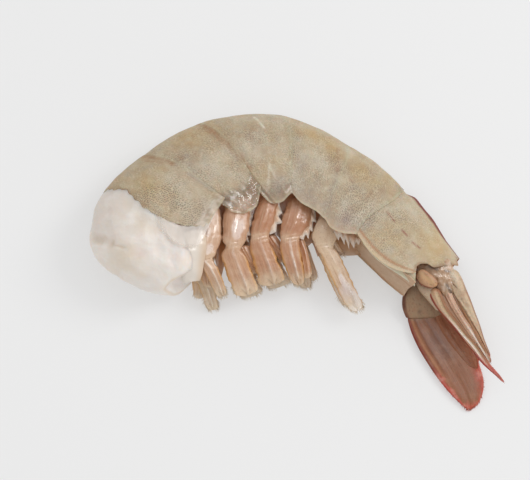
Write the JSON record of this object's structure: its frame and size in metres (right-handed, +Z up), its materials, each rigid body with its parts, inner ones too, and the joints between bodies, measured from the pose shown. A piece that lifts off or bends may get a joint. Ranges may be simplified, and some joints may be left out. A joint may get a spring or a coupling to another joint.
{
  "type": "raw whiteleg shrimp",
  "caption": "Raw headless whiteleg shrimp in its shell, curled and lying on its right side, with swimming legs under the belly and a half-folded tail fan.",
  "frame": {"origin": "middle of the shrimp's box, at the level of the table that it lies on", "axes": "+X from the cut head end toward the tail, the longest way; +Y toward the back of the curled body; +Z up from the table, out of the shrimp's left side, the shortest way"},
  "size_m": [0.0956, 0.0716, 0.0163],
  "materials": {
    "flesh": "wet, translucent off-white flesh",
    "shell": "wet, thin, grey-beige translucent shell with fine dark dots",
    "pleopod": "wet, pinkish-brown translucent legs with paler fringed ends",
    "tail_fan": "wet, brown blades with dark red rims and a pink-red fringe"
  },
  "bodies": {
    "root": {"flesh": "flesh", "shell_1": "shell", "shell_2": "shell", "shell_3": "shell", "shell_4": "shell", "shell_5": "shell", "shell_6": "shell", "pleopod_left_1": "pleopod", "pleopod_left_2": "pleopod", "pleopod_left_3": "pleopod", "pleopod_left_4": "pleopod", "pleopod_left_5": "pleopod", "pleopod_right_1": "pleopod", "pleopod_right_2": "pleopod", "pleopod_right_3": "pleopod", "pleopod_right_4": "pleopod", "pleopod_right_5": "pleopod", "telson": "tail_fan", "uropod_left_base": "tail_fan", "uropod_left_outer": "tail_fan", "uropod_left_inner": "tail_fan", "uropod_right_base": "tail_fan", "uropod_right_outer": "tail_fan", "uropod_right_inner": "tail_fan"}
  },
  "joints": []
}
